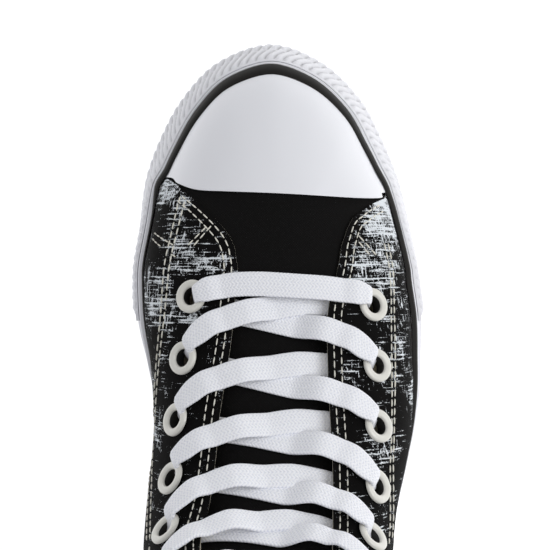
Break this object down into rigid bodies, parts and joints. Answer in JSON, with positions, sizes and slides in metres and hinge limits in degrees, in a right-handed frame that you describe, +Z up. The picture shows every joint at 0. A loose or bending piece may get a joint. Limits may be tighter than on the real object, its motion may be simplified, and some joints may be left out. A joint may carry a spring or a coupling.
{
  "type": "high-top canvas sneaker",
  "caption": "Empty right-foot high-top canvas sneaker on a flat rubber sole, laced, with a rubber toe cap and a ribbed toe strip; open at the collar for the foot.",
  "frame": {"origin": "middle of the heel's resting face, on the ground", "axes": "+Y from the heel to the toe, +X to the shoe's lateral (outer) side, +Z up, out of the collar"},
  "size_m": [0.1002, 0.2721, 0.164],
  "materials": {
    "white_rubber": "satin",
    "black_rubber": "satin",
    "black_canvas": "woven",
    "white_cotton": "woven",
    "natural_lining": "woven",
    "enamelled_metal": "gloss"
  },
  "bodies": {
    "root": {"outsole": "white_rubber", "foxing": "white_rubber", "toe_bumper": "white_rubber", "foxing_stripe": "black_rubber", "toe_cap": "white_rubber", "upper": "black_canvas", "tongue": "black_canvas", "insole": "natural_lining", "eyelet_left_1": "enamelled_metal", "eyelet_left_2": "enamelled_metal", "eyelet_left_3": "enamelled_metal", "eyelet_left_4": "enamelled_metal", "eyelet_left_5": "enamelled_metal", "eyelet_left_6": "enamelled_metal", "eyelet_left_7": "enamelled_metal", "eyelet_left_8": "enamelled_metal", "eyelet_right_1": "enamelled_metal", "eyelet_right_2": "enamelled_metal", "eyelet_right_3": "enamelled_metal", "eyelet_right_4": "enamelled_metal", "eyelet_right_5": "enamelled_metal", "eyelet_right_6": "enamelled_metal", "eyelet_right_7": "enamelled_metal", "eyelet_right_8": "enamelled_metal", "lace_bar": "white_cotton", "lace_crossing_1": "white_cotton", "lace_crossing_2": "white_cotton", "lace_crossing_3": "white_cotton", "lace_crossing_4": "white_cotton", "lace_crossing_5": "white_cotton", "lace_crossing_6": "white_cotton", "lace_crossing_7": "white_cotton"}
  },
  "joints": []
}
